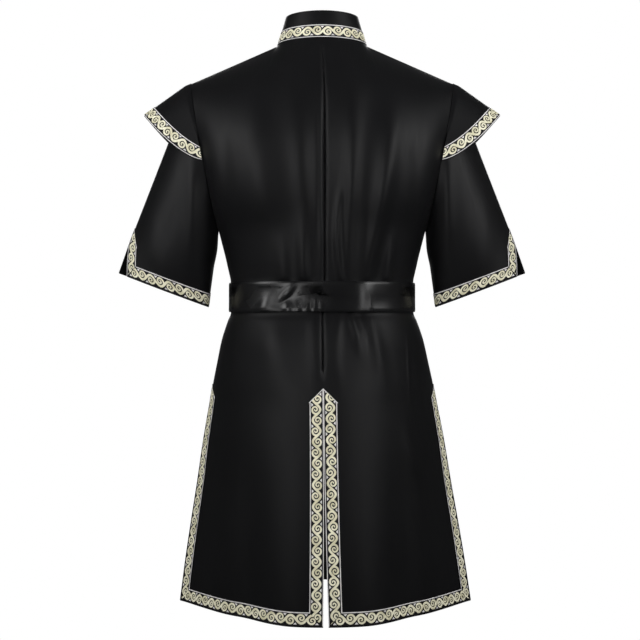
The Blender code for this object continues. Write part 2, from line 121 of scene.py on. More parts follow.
# A fold runs from its top to its foot, bowed to one side, and is a trough where its rise is below zero
FOLD_TYPE = [
    ("top_x", float),
    ("top_z", float),
    ("foot_x", float),
    ("foot_z", float),
    ("bow", float),
    ("rise", float),
    ("top_width", float),
    ("foot_width", float),
    ("peak", float),
]
BACK_FOLDS = np.array(
    [
        (0.0075, -0.050, 0.0060, -0.470, 0.000, 0.0026, 0.0042, 0.0036, 0.40),
        (-0.033, -0.230, -0.036, -0.470, 0.014, 0.0065, 0.006, 0.005, 0.60),
        (-0.050, -0.060, -0.041, -0.470, 0.000, 0.0058, 0.018, 0.006, 0.50),
        (-0.080, -0.050, -0.070, -0.300, 0.000, -0.0015, 0.018, 0.016, 0.35),
        (-0.128, -0.010, -0.062, -0.470, -0.012, 0.0120, 0.028, 0.009, 0.62),
        (-0.164, -0.100, -0.156, -0.360, 0.000, -0.0030, 0.011, 0.013, 0.45),
        (-0.120, -0.310, -0.106, -0.470, 0.000, 0.0075, 0.010, 0.008, 0.65),
        (0.126, -0.010, 0.098, -0.460, 0.000, 0.0075, 0.028, 0.032, 0.45),
        (0.171, -0.100, 0.160, -0.380, 0.000, -0.0030, 0.011, 0.014, 0.45),
        (0.048, -0.085, 0.026, -0.400, 0.000, 0.0055, 0.022, 0.014, 0.45),
        (0.040, -0.290, 0.034, -0.470, 0.000, 0.0060, 0.011, 0.009, 0.60),
        (0.076, -0.330, 0.066, -0.470, 0.000, 0.0040, 0.012, 0.010, 0.60),
        (0.013, -0.450, 0.014, -0.640, 0.000, 0.0036, 0.011, 0.013, 0.35),
        (-0.010, -0.450, -0.011, -0.620, 0.000, 0.0036, 0.010, 0.012, 0.35),
        (-0.033, -0.460, -0.034, -0.640, 0.010, 0.0026, 0.007, 0.011, 0.30),
        (-0.040, -0.456, -0.070, -0.580, -0.004, 0.0045, 0.007, 0.012, 0.35),
        (-0.058, -0.456, -0.070, -0.515, 0.000, -0.0030, 0.006, 0.010, 0.30),
        (-0.078, -0.460, -0.104, -0.660, -0.006, 0.0042, 0.009, 0.016, 0.40),
        (-0.147, -0.490, -0.150, -0.640, 0.000, 0.0016, 0.003, 0.003, 0.50),
        (0.086, -0.460, 0.085, -0.650, 0.000, 0.0060, 0.026, 0.032, 0.40),
        (0.158, -0.490, 0.160, -0.620, 0.000, 0.0020, 0.010, 0.010, 0.50),
        (0.060, -0.600, 0.070, -1.350, 0.000, 0.0045, 0.032, 0.032, 0.50),
        (0.118, -0.600, 0.150, -1.350, 0.000, -0.0070, 0.026, 0.026, 0.50),
        (-0.070, -0.640, -0.080, -1.350, 0.000, 0.0045, 0.032, 0.032, 0.50),
        (-0.118, -0.560, -0.160, -1.350, 0.000, -0.0060, 0.024, 0.024, 0.50),
        (-0.135, -0.660, -0.168, -0.780, 0.000, 0.0040, 0.010, 0.010, 0.60),
        (-0.165, -0.530, -0.178, -0.690, 0.000, 0.0030, 0.012, 0.012, 0.50),
    ],
    dtype=FOLD_TYPE,
)


def blend(start, end, share):
    return start + (end - start) * share


def ease(value, start, end):
    """0 before start, 1 after end, and smooth between them."""
    share = np.clip((value - start) / (end - start), 0.0, 1.0)
    return share * share * (3.0 - 2.0 * share)


def towards(point, target, distance):
    step = target - point
    return point + step * (distance / np.linalg.norm(step, axis=-1, keepdims=True))


def smooth_table(place, knots, values):
    """Smooth curve through a table's rows that never swings past them."""
    secants = np.diff(values) / np.diff(knots)
    before, after = secants[:-1], secants[1:]
    same_way = before * after > 0
    total = np.where(same_way, before + after, 1.0)
    inner = np.where(same_way, 2.0 * before * after / total, 0.0)
    slopes = np.concatenate([secants[:1], inner, secants[-1:]])
    place = np.clip(place, knots[0], knots[-1])
    cell = np.clip(np.searchsorted(knots, place) - 1, 0, len(knots) - 2)
    step = knots[cell + 1] - knots[cell]
    t = (place - knots[cell]) / step
    rise = ease(t, 0.0, 1.0)
    start_pull = t * (1.0 - t) ** 2 * step * slopes[cell]
    end_pull = t * t * (1.0 - t) * step * slopes[cell + 1]
    return blend(values[cell], values[cell + 1], rise) + start_pull - end_pull


def body_at(column, z):
    return smooth_table(z, BODY["z"], BODY[column])


def stations(length, cells):
    """Places across a piece from 0 to 1, with columns of their own under the ribbon at either edge."""
    edge = RIBBON_WIDTH / length
    return np.concatenate(
        [
            np.linspace(0.0, edge, EDGE_CELLS, endpoint=False),
            np.linspace(edge, 1.0 - edge, cells, endpoint=False),
            np.linspace(1.0 - edge, 1.0, EDGE_CELLS + 1),
        ]
    )


def vent_gap(z, open_at_hem):
    return open_at_hem * np.clip((VENT_TOP - z) / (VENT_TOP - HEM), 0.0, 1.0) ** 2


def section(face, angle, z):
    """Point of the body's left half at height z, from the centre line at 0 to the side at a right angle."""
    half_width = body_at("half_width", z)
    depth = body_at("back" if face == BACK else "front", z)
    centre = vent_gap(z, VENT_OPEN[face])
    side = vent_gap(z, SIDE_VENT_OPEN)
    x = blend(centre, half_width, np.sin(angle))
    y = face * blend(side, depth, np.maximum(np.cos(angle), 0.0) ** body_at("point", z))
    return np.stack([x, y, np.full_like(x, z)], axis=-1)


def section_row(face, z):
    """One row of a panel below the underarm, and the places of its columns."""
    angles = np.linspace(0.0, math.pi / 2, FINE_STEPS)
    steps = np.linalg.norm(np.diff(section(face, angles, z), axis=0), axis=1)
    run = np.concatenate([[0.0], np.cumsum(steps)])
    place = stations(run[-1], PANEL_CELLS[face])
    return section(face, np.interp(place * run[-1], run, angles), z), place


def neckline(face, turn):
    """Point of the neck seam: turn is 0 on the centre line and a right angle at the shoulder."""
    x = NECK_HALF_WIDTH * np.sin(turn)
    y = face * NECK_DEPTH[face] * np.cos(turn)
    z = NECK_LEVEL[face] * np.cos(turn) ** 2
    return np.stack([x, y, z], axis=-1)


def top_edge(face, place):
    """Top of a panel: the neckline, then the shoulder seam."""
    corner = place[EDGE_CELLS + round(NECK_SHARE * PANEL_CELLS[face])]
    turn = np.minimum(place / corner, 1.0) * math.pi / 2
    along = np.clip((place - corner) / (1.0 - corner), 0.0, 1.0)
    edge = neckline(face, turn)
    edge[:, 0] += along * (SHOULDER[0] - NECK_HALF_WIDTH)
    edge[:, 2] += along * SHOULDER[1]
    return edge


def armhole(turn):
    """Point of the left armhole: turn is 0 at the shoulder, grows over the back, and is pi underneath."""
    z = blend(UNDERARM[1], SHOULDER[1], 0.5 + 0.5 * np.cos(turn))
    x = blend(UNDERARM[0], SHOULDER[0], 0.5 + 0.5 * np.cos(turn))
    return np.stack([x, ARMHOLE_DEPTH * np.sin(turn), z], axis=-1)


def rounded_corner(edge):
    """An edge with the corner between neck and shoulder rounded off, as the cloth lies a little below it."""
    rounded = edge.copy()
    for _ in range(CORNER_ROUNDS):
        rounded[1:-1] = (rounded[:-2] + 2.0 * rounded[1:-1] + rounded[2:]) / 4
    return rounded


def yoke_rows(face):
    """Rows of a panel from the shoulder down to the underarm, blended between its four edges."""
    bottom, u = section_row(face, UNDERARM[1])
    t = np.linspace(1.0, 0.0, YOKE_ROWS + 1)
    line = CENTRE_LINE[face]
    centre_z = blend(line["z"][0], line["z"][-1], t)
    centre_y = face * smooth_table(centre_z, line["z"], line["depth"])
    centre = np.stack([np.zeros_like(t), centre_y, centre_z], axis=-1)
    arm = armhole(math.pi * (1.0 - t))
    arm[:, 1] *= face
    seamed_top = top_edge(face, u)
    top = rounded_corner(seamed_top)
    t = t[:, None, None]
    u = u[None, :, None]
    near_top = t**2
    between_ends = blend(bottom[None], top[None], near_top)
    between_sides = blend(centre[:, None], arm[:, None], u)
    corners = blend(blend(bottom[0], bottom[-1], u), blend(top[0], top[-1], u), near_top)
    rows = between_ends + between_sides - corners
    rows[:, :, 1] += face * FULLNESS[face] * (np.sin(math.pi * u) * np.sin(math.pi * t))[:, :, 0]
    down = 1.0 - t
    round_off = SHOULDER_ROUND * np.sin(math.pi * u) * down / (down + SHOULDER_DROP) * near_top
    rows[:, :, 1] += face * round_off[:, :, 0]
    rows += (seamed_top - top)[None] * np.clip((t - CORNER_REACH) / (1.0 - CORNER_REACH), 0.0, 1.0) ** 2
    return rows


def soften(points, rows):
    """Evens out the first rows of a panel, whose edges stay where they are."""
    for _ in range(SOFTENING_ROUNDS):
        near = points[:rows]
        around = (near[:-2, 1:-1] + near[2:, 1:-1] + near[1:-1, :-2] + near[1:-1, 2:]) / 4
        near[1:-1, 1:-1] = around


def fold_rise(folds, x, z):
    rise = np.zeros_like(x)
    for fold in folds:
        run = np.clip((fold["top_z"] - z) / (fold["top_z"] - fold["foot_z"]), 0.0, 1.0)
        middle = blend(fold["top_x"], fold["foot_x"], run) + fold["bow"] * np.sin(math.pi * run)
        across = (x - middle) / blend(fold["top_width"], fold["foot_width"], run)
        along = ease(run, 0.0, fold["peak"]) * (1.0 - ease(run, fold["peak"], 1.0))
        rise += fold["rise"] * along * np.exp(-(across**2))
    return rise


def facing_out(points, inside):
    """Unit normals of a grid of points, pointing away from the points inside it."""
    normals = np.cross(np.gradient(points, axis=1), np.gradient(points, axis=0))
    if np.sum(normals * (points - inside)) < 0:
        normals = -normals
    length = np.linalg.norm(normals, axis=-1, keepdims=True)
    return normals / np.maximum(length, 1e-12)


def run_along(points, axis):
    """Length of cloth from a grid's first row or column to each of its points."""
    steps = np.linalg.norm(np.diff(points, axis=axis), axis=-1)
    return np.insert(np.cumsum(steps, axis=axis), 0, 0.0, axis=axis)


CENTRE_SEAM_DEPTH, CENTRE_SEAM_WIDTH = 0.0034, 0.0025
SIDE_SEAM_DEPTH, SIDE_SEAM_WIDTH = 0.0004, 0.004
SEAM_START = 0.03
SIDE_SEAM_END = (VENT_PEAK, -0.560)
CENTRE_SEAM_END = {BACK: SIDE_SEAM_END, FRONT: (HEM + RIBBON_WIDTH, HEM + 2 * RIBBON_WIDTH)}
WAVE_DEPTH, WAVE_LENGTHS, WAVE_PHASES = 0.0006, (0.047, 0.083), (2.1, 1.3)


def panel_points(face, hand, folds):
    """Points of one half of the back or front, from the shoulder down and from the centre line out."""
    levels = np.concatenate(
        [
            np.linspace(UNDERARM[1], VENT_PEAK, BODICE_ROWS + 1)[1:],
            np.linspace(VENT_PEAK, HEM + RIBBON_WIDTH, SKIRT_ROWS + 1)[1:],
            np.linspace(HEM + RIBBON_WIDTH, HEM, EDGE_CELLS + 1)[1:],
        ]
    )
    below = np.array([section_row(face, z)[0] for z in levels])
    points = np.concatenate([yoke_rows(face), below])
    soften(points, YOKE_ROWS + int(np.sum(levels > SOFTENING_END)))
    points[:, :, 0] *= hand
    x, z = points[:, :, 0].copy(), points[:, :, 2].copy()
    out = run_along(points, 1)
    share = out / out[:, -1:]
    free = (1.0 - share**4) * ease(abs(z - WAIST), *BELT_HOLD)
    wave = np.sin(x / WAVE_LENGTHS[0] + WAVE_PHASES[0])
    wave *= np.sin(z / WAVE_LENGTHS[1] + WAVE_PHASES[1] * face)
    points[:, :, 1] += face * free * (fold_rise(folds, x, z) + WAVE_DEPTH * wave)
    points[:, :, 0] += SKIRT_SWAY * np.clip((WAIST - z) / (WAIST - HEM), 0.0, 1.0)
    swayed = ease(-z, 0.0, -BODICE_SWAY_TOP) * (1.0 - ease(-z, -BELT_TOP, -WAIST))
    points[:, :, 0] += BODICE_SWAY * swayed * (1.0 - share**2) ** 2
    normals = facing_out(points, points * (0, 0, 1))
    centre_seam = CENTRE_SEAM_DEPTH * np.exp(-((out / CENTRE_SEAM_WIDTH) ** 2))
    centre_seam *= ease(run_along(points, 0), 0.0, SEAM_START)
    side_seam = SIDE_SEAM_DEPTH * np.exp(-(((out[:, -1:] - out) / SIDE_SEAM_WIDTH) ** 2))
    points[:, :, 1] -= face * centre_seam * ease(z, *CENTRE_SEAM_END[face])
    points -= normals * (side_seam * ease(z, *SIDE_SEAM_END))[:, :, None]
    return points, facing_out(points, points * (0, 0, 1))


def stretched_noise(tree, repeats, detail):
    """Noise on a piece's own cut, with so many repeats a metre across and along it."""
    cut = tree.nodes.new("ShaderNodeUVMap")
    cut.uv_map = "cut"
    mapping = tree.nodes.new("ShaderNodeMapping")
    mapping.inputs["Scale"].default_value = (*repeats, 1.0)
    noise = tree.nodes.new("ShaderNodeTexNoise")
    noise.noise_dimensions = "2D"
    noise.inputs["Scale"].default_value = 1.0
    noise.inputs["Detail"].default_value = detail
    tree.links.new(cut.outputs["UV"], mapping.inputs["Vector"])
    tree.links.new(mapping.outputs["Vector"], noise.inputs["Vector"])
    return noise.outputs["Fac"]


def ranged(tree, factor, low, high):
    """A factor's middle range spread from low to high."""
    spread = tree.nodes.new("ShaderNodeMapRange")
    spread.inputs["From Min"].default_value = 0.3
    spread.inputs["From Max"].default_value = 0.7
    spread.inputs["To Min"].default_value = low
    spread.inputs["To Max"].default_value = high
    tree.links.new(factor, spread.inputs["Value"])
    return spread.outputs["Result"]


def mixed_colour(tree, factor, first, second):
    mix = tree.nodes.new("ShaderNodeMix")
    mix.data_type = "RGBA"
    mix.inputs["A"].default_value = (*first, 1.0)
    mix.inputs["B"].default_value = (*second, 1.0)
    tree.links.new(factor, mix.inputs["Factor"])
    return mix.outputs["Result"]


def bumped(tree, height, strength, distance):
    bump = tree.nodes.new("ShaderNodeBump")
    bump.inputs["Strength"].default_value = strength
    bump.inputs["Distance"].default_value = distance
    tree.links.new(height, bump.inputs["Height"])
    return bump.outputs["Normal"]


def new_finish(name):
    material = bpy.data.materials.new(name)
    material.use_nodes = True
    return material, material.node_tree, material.node_tree.nodes["Principled BSDF"]


def satin_finish():
    """Black satin: long floats of the warp run down the cloth and blur its gloss."""
    material, tree, shader = new_finish("black_satin")
    shader.inputs["Specular IOR Level"].default_value = 0.3
    shader.inputs["Sheen Weight"].default_value = 0.02
    shader.inputs["Sheen Roughness"].default_value = 0.4
    clouds = ranged(tree, stretched_noise(tree, (9.0, 5.0), 2.0), 0.0, 1.0)
    colour = mixed_colour(tree, clouds, (0.0030, 0.0030, 0.0035), (0.0042, 0.0042, 0.0049))
    floats = stretched_noise(tree, (900.0, 24.0), 2.0)
    tree.links.new(colour, shader.inputs["Base Color"])
    tree.links.new(ranged(tree, floats, 0.44, 0.52), shader.inputs["Roughness"])
    weave = stretched_noise(tree, (1800.0, 500.0), 1.0)
    tree.links.new(bumped(tree, weave, 0.05, 0.0002), shader.inputs["Normal"])
    return material


def grid_form(points, normals):
    """A grid of points as faces that point out, with its flat lengths as its cut."""
    facing = np.cross(np.gradient(points, axis=1), np.gradient(points, axis=0))
    flat = np.stack([run_along(points, 1), run_along(points, 0)], axis=-1)
    if np.sum(facing * normals) < 0:
        points, flat = points[:, ::-1], flat[:, ::-1]
    rows, columns = points.shape[:2]
    form = bmesh.new()
    bmesh.ops.create_grid(form, x_segments=columns - 1, y_segments=rows - 1, size=1.0)
    for vertex, place in zip(form.verts, points.reshape(-1, 3)):
        vertex.co = place
    form.verts.index_update()
    cut = form.loops.layers.uv.new("cut")
    flat = flat.reshape(-1, 2)
    for face in form.faces:
        for corner in face.loops:
            corner[cut].uv = flat[corner.vert.index]
    return form


def finished_piece(name, form, finishes, node, sharp_angle=60):
    mesh = bpy.data.meshes.new(name)
    form.to_mesh(mesh)
    form.free()
    mesh.shade_smooth()
    mesh.set_sharp_from_angle(angle=math.radians(sharp_angle))
    for finish in finishes:
        mesh.materials.append(finish)
    piece = bpy.data.objects.new(name, mesh)
    bpy.context.scene.collection.objects.link(piece)
    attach(piece, "root")
    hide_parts(node)
    return piece


def cloth_piece(node, points, normals):
    form = grid_form(points, normals)
    bmesh.ops.solidify(form, geom=form.verts[:] + form.edges[:] + form.faces[:], thickness=CLOTH)
    return finished_piece(f"satin_{node}", form, [SATIN], node)


SATIN = satin_finish()
PANELS = {}
for hand_name, hand in HANDS.items():
    PANELS[BACK, hand_name] = panel_points(BACK, hand, BACK_FOLDS)
    cloth_piece(f"back_{hand_name}", *PANELS[BACK, hand_name])

# Front: two halves of the same satin, joined by a plain seam down the middle. It hangs straighter than the
# back, with a few long folds from the belt to the hem.
FRONT_FOLDS = np.array(
    [
        (0.110, -0.150, 0.055, -0.430, 0.006, 0.0060, 0.020, 0.010, 0.50),
        (-0.115, -0.140, -0.050, -0.430, -0.006, 0.0070, 0.020, 0.009, 0.55),
        (0.040, -0.160, 0.026, -0.430, 0.004, 0.0040, 0.012, 0.006, 0.60),
        (-0.030, -0.230, -0.024, -0.430, 0.000, 0.0035, 0.008, 0.005, 0.60),
        (0.170, -0.130, 0.162, -0.280, 0.000, 0.0045, 0.010, 0.010, 0.50),
        (-0.176, -0.140, -0.166, -0.270, 0.000, 0.0045, 0.010, 0.010, 0.50),
        (0.026, -0.468, 0.034, -0.640, 0.008, 0.0045, 0.006, 0.010, 0.35),
        (-0.020, -0.468, -0.026, -0.610, 0.000, 0.0040, 0.006, 0.009, 0.35),
        (-0.052, -0.466, -0.070, -0.560, 0.000, -0.0040, 0.006, 0.008, 0.40),
        (0.098, -0.468, 0.112, -0.600, 0.000, 0.0040, 0.008, 0.012, 0.40),
        (0.060, -0.480, 0.075, -1.350, 0.000, 0.0080, 0.026, 0.026, 0.50),
        (-0.066, -0.480, -0.090, -1.350, 0.000, 0.0080, 0.028, 0.028, 0.50),
        (0.122, -0.560, 0.160, -1.350, 0.000, -0.0060, 0.024, 0.024, 0.50),
        (-0.130, -0.580, -0.165, -1.350, 0.000, -0.0060, 0.024, 0.024, 0.50),
    ],
    dtype=FOLD_TYPE,
)
for hand_name, hand in HANDS.items():
    PANELS[FRONT, hand_name] = panel_points(FRONT, hand, FRONT_FOLDS)
    cloth_piece(f"front_{hand_name}", *PANELS[FRONT, hand_name])

# Sleeves: half sleeves of satin, set into the armholes. The hem slants up to the outer side, where a vent
# is left open and its back edge falls away from the front one.
SLEEVE_HEM_OUTER = (0.365, -0.405)
SLEEVE_HEM_INNER = (0.203, -0.466)
SLEEVE_HEM_DEPTH = 0.034
SLEEVE_SET_IN = 0.0004
SLEEVE_CLEARANCE = 0.0002
SLEEVE_FULLNESS = 0.008
SLEEVE_TUCK = 0.002
SLEEVE_PEAK = 0.819
SLEEVE_UPPER_ROWS, SLEEVE_LOWER_ROWS = 48, 12
SLEEVE_CELLS = 100
SLEEVE_VENT_START = 0.84
SLEEVE_VENT_BACK = 0.024
SLEEVE_VENT_FRONT = 0.002
SLEEVE_FOLD_END = (0.82, 0.97)
SLEEVE_FOLDS = {
    (LEFT, BACK): [
        (0.225, -0.150, 0.226, -0.440, 0.000, 0.0042, 0.010, 0.012, 0.45),
        (0.306, -0.240, 0.284, -0.440, 0.000, 0.0030, 0.018, 0.022, 0.60),
    ],
    (RIGHT, BACK): [
        (-0.219, -0.150, -0.218, -0.440, 0.000, 0.0042, 0.010, 0.012, 0.45),
        (-0.298, -0.220, -0.276, -0.440, 0.000, 0.0030, 0.018, 0.022, 0.60),
    ],
    (LEFT, FRONT): [
        (0.290, -0.190, 0.270, -0.420, 0.000, 0.0050, 0.016, 0.020, 0.50),
        (0.232, -0.200, 0.230, -0.400, 0.000, 0.0050, 0.012, 0.014, 0.50),
    ],
    (RIGHT, FRONT): [
        (-0.285, -0.190, -0.262, -0.420, 0.000, 0.0050, 0.016, 0.020, 0.50),
        (-0.236, -0.190, -0.232, -0.390, 0.000, 0.0055, 0.012, 0.014, 0.45),
    ],
}


def sleeve_hem(turn):
    """Point of the left sleeve's hem: turn is 0 at its outer corner and pi at its round inner side."""
    share = 0.5 + 0.5 * np.cos(turn)
    x = blend(SLEEVE_HEM_INNER[0], SLEEVE_HEM_OUTER[0], share)
    y = SLEEVE_HEM_DEPTH * np.sin(turn) * np.where(share > 0.5, abs(np.sin(turn)), 1.0)
    z = blend(SLEEVE_HEM_INNER[1], SLEEVE_HEM_OUTER[1], share)
    return np.stack([x, y, z], axis=-1)


def sleeve_start(turn):
    """Point where the sleeve begins, just off the armhole."""
    start = towards(armhole(turn), sleeve_hem(turn), SLEEVE_SET_IN)
    start[..., 0] += SLEEVE_CLEARANCE
    return start


def sleeve_points(hand):
    """Points of a sleeve from the armhole down, and round from one edge of its vent to the other."""
    turns = np.linspace(0.0, 2 * math.pi, FINE_STEPS)
    girth = run_along(sleeve_hem(turns), 0)
    place = stations(girth[-1], SLEEVE_CELLS)
    turn = np.interp(place * girth[-1], girth, turns)
    length = np.linalg.norm(sleeve_hem(turn) - sleeve_start(turn), axis=1)
    above_hem = 1.0 - RIBBON_WIDTH / length
    upper = np.linspace(0.0, SLEEVE_PEAK, SLEEVE_UPPER_ROWS + 1)
    lower = np.linspace(SLEEVE_PEAK, 1.0, SLEEVE_LOWER_ROWS + 1)[1:]
    at_hem = np.linspace(0.0, 1.0, EDGE_CELLS + 1)[1:, None]
    to_hem = np.outer(np.concatenate([upper, lower]), above_hem)
    run = np.concatenate([to_hem, blend(above_hem, 1.0, at_hem)])
    opened = np.clip((run - SLEEVE_VENT_START) / (1.0 - SLEEVE_VENT_START), 0.0, 1.0)
    along = blend(SLEEVE_VENT_BACK * opened, girth[-1] - SLEEVE_VENT_FRONT * opened, place)
    turn = np.interp(along, girth, turns)
    points = blend(sleeve_start(turn), sleeve_hem(turn), run[..., None])
    points[..., 1] += SLEEVE_FULLNESS * np.sin(math.pi * run) * np.sin(turn)
    underneath = np.maximum(0.0, -np.cos(turn)) ** 2
    points[..., 0] -= SLEEVE_TUCK * underneath * np.sin(math.pi * np.minimum(2 * run, 1.0)) ** 2
    points[..., 0] *= hand
    normals = facing_out(points, points.mean(axis=1, keepdims=True))
    for face in (BACK, FRONT):
        folds = np.array(SLEEVE_FOLDS[hand, face], dtype=FOLD_TYPE)
        on_face = np.clip(face * normals[..., 1], 0.0, 1.0) ** 2 * (1.0 - ease(run, *SLEEVE_FOLD_END))
        points[..., 1] += face * on_face * fold_rise(folds, points[..., 0], points[..., 2])
    return points, facing_out(points, points.mean(axis=1, keepdims=True))


SLEEVES = {}
for hand_name, hand in HANDS.items():
    SLEEVES[hand_name] = sleeve_points(hand)
    cloth_piece(f"sleeve_{hand_name}", *SLEEVES[hand_name])

# Shoulder caps: crescents of satin sewn into the armhole over the sleeve head, flaring out to a point that
# stands clear of the sleeve.
CAP_TIP = (0.317, -0.127)
CAP_SEAM_TURN = math.radians(83)
CAP_END_TURN = math.radians(96)
CAP_DROOP = 1.55
CAP_SWELL = 0.006
CAP_SEAM_LIFT, CAP_LIFT = 0.0007, 0.0030
CAP_LIFT_SHARE = 0.12
CAP_LIFT_OUTWARDS = 0.35
CAP_SHORTEST = 1.25 * RIBBON_WIDTH
CAP_CELLS, CAP_ROWS = 120, 16


def cap_points(hand):
    """Points of a shoulder cap from the armhole seam out to its free edge, and from front to back."""
    place = np.linspace(-1.0, 1.0, CAP_CELLS + 1)
    seam = armhole(place * CAP_SEAM_TURN)
    end = armhole(np.where(place < 0, -CAP_END_TURN, CAP_END_TURN))
    quarter = abs(place) * math.pi / 2
    free_edge = np.stack(
        [
            blend(end[:, 0], CAP_TIP[0], np.cos(quarter)),
            end[:, 1] * np.sin(quarter) + np.sign(place) * CAP_SWELL * np.sin(2 * quarter),
            blend(end[:, 2], CAP_TIP[1], np.maximum(np.cos(quarter), 0.0) ** CAP_DROOP),
        ],
        axis=-1,
    )
    length = np.linalg.norm(free_edge - seam, axis=1)
    above_ribbon = 1.0 - RIBBON_WIDTH / np.maximum(length, CAP_SHORTEST)
    at_edge = np.linspace(0.0, 1.0, EDGE_CELLS + 1)[1:, None]
    upper = np.outer(np.linspace(0.0, 1.0, CAP_ROWS + 1), above_ribbon)
    share = np.concatenate([upper, blend(above_ribbon, 1.0, at_edge)])
    points = blend(seam, free_edge, share[..., None])
    turn = place * CAP_SEAM_TURN
    lift = np.stack([np.full_like(turn, CAP_LIFT_OUTWARDS), np.sin(turn), np.cos(turn)], axis=-1)
    height = blend(CAP_SEAM_LIFT, CAP_LIFT, ease(share, 0.0, CAP_LIFT_SHARE))[..., None]
    points += height * lift / np.linalg.norm(lift, axis=-1, keepdims=True)
    points[..., 0] *= hand
    middle = np.array([hand * (UNDERARM[0] + SHOULDER[0]) / 2, 0.0, (UNDERARM[1] + SHOULDER[1]) / 2])
    return points, facing_out(points, middle)


CAPS = {}
for hand_name, hand in HANDS.items():
    CAPS[hand_name] = cap_points(hand)
    cloth_piece(f"cap_{hand_name}", *CAPS[hand_name])

# Collar: a stand collar of stiffened satin on the neck seam, leaning in as it rises, its ends meeting at
# the front.
COLLAR_HEIGHT = {BACK: 0.049, FRONT: 0.042}
COLLAR_LEAN = {BACK: 0.009, FRONT: 0.012}
COLLAR_SIDE_LEAN = 0.014
COLLAR_SEAM = 0.0006
COLLAR_SPLIT = math.radians(0.5)
COLLAR_CELLS, COLLAR_ROWS = 220, 10


def collar_points():
    """Points of the collar from the neck seam up, and round from the front over the wearer's right."""
    turn = np.linspace(COLLAR_SPLIT - math.pi, math.pi - COLLAR_SPLIT, COLLAR_CELLS + 1)
    behind = np.cos(turn) >= 0
    base = np.where(behind[:, None], neckline(BACK, turn), neckline(FRONT, math.pi - turn))
    to_front = np.clip(-np.cos(turn), 0.0, 1.0)
    height = blend(COLLAR_HEIGHT[BACK], COLLAR_HEIGHT[FRONT], to_front)
    lean = np.where(behind, COLLAR_LEAN[BACK], COLLAR_LEAN[FRONT])
    base[:, 2] += COLLAR_SEAM
    rise = np.stack([-COLLAR_SIDE_LEAN * np.sin(turn), -lean * np.cos(turn), height], axis=-1)
    ribbon_share = RIBBON_WIDTH / np.linalg.norm(rise, axis=1)
    lower = np.outer(np.linspace(0.0, 1.0, EDGE_CELLS + 1), ribbon_share)
    upper = blend(ribbon_share, 1.0, np.linspace(0.0, 1.0, COLLAR_ROWS + 1)[1:, None])
    share = np.concatenate([lower, upper])
    points = base + rise * share[..., None]
    return points, facing_out(points, points * (0, 0, 1))


COLLAR = collar_points()
collar = cloth_piece("collar", *COLLAR)

# Ribbon: a woven jacquard trim about an inch wide, cream scroll on a black ground with a pale line at one
# edge or at both, sewn flat along the edges of the cloth and mitred at the corners.
RIBBON_GROUND, RIBBON_LIFT = 0.0006, 0.0003
SCROLL_HEIGHT, CURL_STEP = 0.00022, 0.00004
HALF_RIBBON = RIBBON_WIDTH / 2
PITCH = 0.0178
STEM_SWING, STEM_WIDTH, STEM_STEPS = 0.00685, 0.0039, 8
CURL_MIDDLE = 0.0019
CURL_START, CURL_END, CURL_STEPS = 20.0, 570.0, 28
CURL = np.array(
    [
        (0.0, 0.0087, 0.0040),
        (90.0, 0.0073, 0.0034),
        (180.0, 0.0057, 0.0031),
        (270.0, 0.0043, 0.0028),
        (360.0, 0.0033, 0.0025),
        (450.0, 0.0023, 0.0022),
        (520.0, 0.0015, 0.0020),
        (570.0, 0.0009, 0.0016),
    ],
    dtype=[("turn", float), ("radius", float), ("width", float)],
)
LEAF = np.array([(0.0070, -0.0091), (0.0132, -0.0091), (0.0100, -0.0054)])
SCROLL_SHARE, SCROLL_SHIFT = 0.92, -0.0004
INNER_LINE, OUTER_LINE = (0.0101, 0.0015), (-0.0113, 0.0012)
GABLE_LINE, GABLE_STEPS = 0.0012, 12
MITRE, SLEEVE_TAPER = RIBBON_WIDTH, 0.028
GROUND_STEP, GROUND_CELLS = 0.004, 6
MITRE_GAP = 0.0002
GROUND_SLOT, SCROLL_SLOT, LINE_SLOT = 0, 1, 2


def ribbon_finishes():
    """The black ground, the cream thread of the scroll and the silvery thread of the lines."""
    ground, tree, shader = new_finish("ribbon_ground")
    shader.inputs["Specular IOR Level"].default_value = 0.25
    shader.inputs["Roughness"].default_value = 0.6
    ribs = stretched_noise(tree, (1600.0, 300.0), 1.0)
    colour = mixed_colour(tree, ribs, (0.004, 0.004, 0.0045), (0.010, 0.010, 0.011))
    tree.links.new(colour, shader.inputs["Base Color"])
    tree.links.new(bumped(tree, ribs, 0.3, 0.0002), shader.inputs["Normal"])
    cream, tree, shader = new_finish("ribbon_scroll")
    shader.inputs["Specular IOR Level"].default_value = 0.4
    shader.inputs["Roughness"].default_value = 0.5
    # Patches of lighter and darker cream are painted sheen: they stand in for the metallic thread catching
    # the light unevenly.
    painted_sheen = ranged(tree, stretched_noise(tree, (45.0, 70.0), 2.0), 0.0, 1.0)
    colour = mixed_colour(tree, painted_sheen, (0.69, 0.655, 0.455), (0.93, 0.90, 0.70))
    tree.links.new(colour, shader.inputs["Base Color"])
    threads = stretched_noise(tree, (400.0, 2200.0), 1.0)
    tree.links.new(bumped(tree, threads, 0.35, 0.0002), shader.inputs["Normal"])
    line, tree, shader = new_finish("ribbon_line")
    shader.inputs["Specular IOR Level"].default_value = 0.4
    shader.inputs["Roughness"].default_value = 0.45
    worn = ranged(tree, stretched_noise(tree, (60.0, 20.0), 2.0), 0.0, 1.0)
    colour = mixed_colour(tree, worn, (0.64, 0.62, 0.62), (0.92, 0.90, 0.88))
    tree.links.new(colour, shader.inputs["Base Color"])
    return [ground, cream, line]


